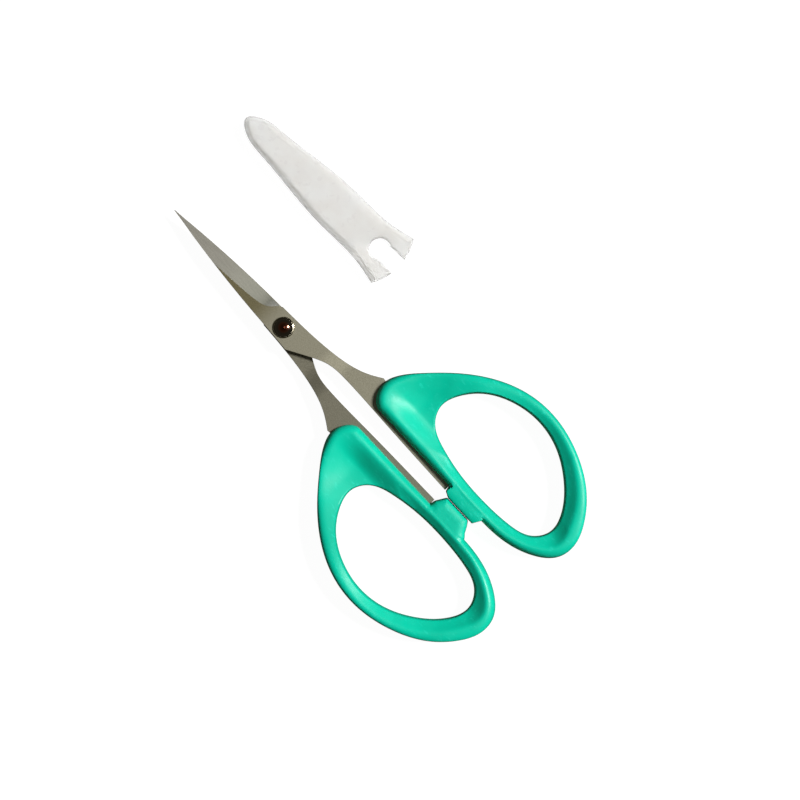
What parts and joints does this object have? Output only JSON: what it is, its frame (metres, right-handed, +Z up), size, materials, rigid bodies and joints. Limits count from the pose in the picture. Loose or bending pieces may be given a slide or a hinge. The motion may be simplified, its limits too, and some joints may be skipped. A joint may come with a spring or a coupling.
{
  "type": "embroidery scissors",
  "caption": "Small fine-pointed thread scissors with two oval finger bows, a domed pivot and a loose translucent blade sheath.",
  "frame": {"origin": "on the pivot axis, in the plane the scissors rest on, at the flat underside of the pivot screw", "axes": "+X from the blade tips to the finger bows, +Y towards the upper half's bow, +Z up along the pivot axis"},
  "size_m": [0.1049, 0.0572, 0.0056],
  "materials": {
    "blade_steel": "satin, fine ground lines across the blade",
    "bow_plastic": "satin moulded, teal green",
    "pivot_steel": "polished",
    "sheath_plastic": "translucent milky white"
  },
  "bodies": {
    "lower_half": {"blade_lower": "blade_steel", "handle_lower": "bow_plastic", "pivot_stud": "pivot_steel", "pivot_washer": "pivot_steel", "pivot_screw": "pivot_steel"},
    "upper_half": {"blade_upper": "blade_steel", "handle_upper": "bow_plastic"},
    "sheath": {"blade_sheath": "sheath_plastic"}
  },
  "joints": [
    {"name": "blade_pivot", "type": "hinge", "parent": "lower_half", "child": "upper_half", "pos_m": [0, 0, 0.0028], "axis": [0, 0, 1], "range_deg": [0, 45]},
    {"name": "sheath_slide", "type": "slide", "parent": "lower_half", "child": "sheath", "axis": [-0.9988, -0.0489, 0], "range_m": [0, 0.04]}
  ]
}
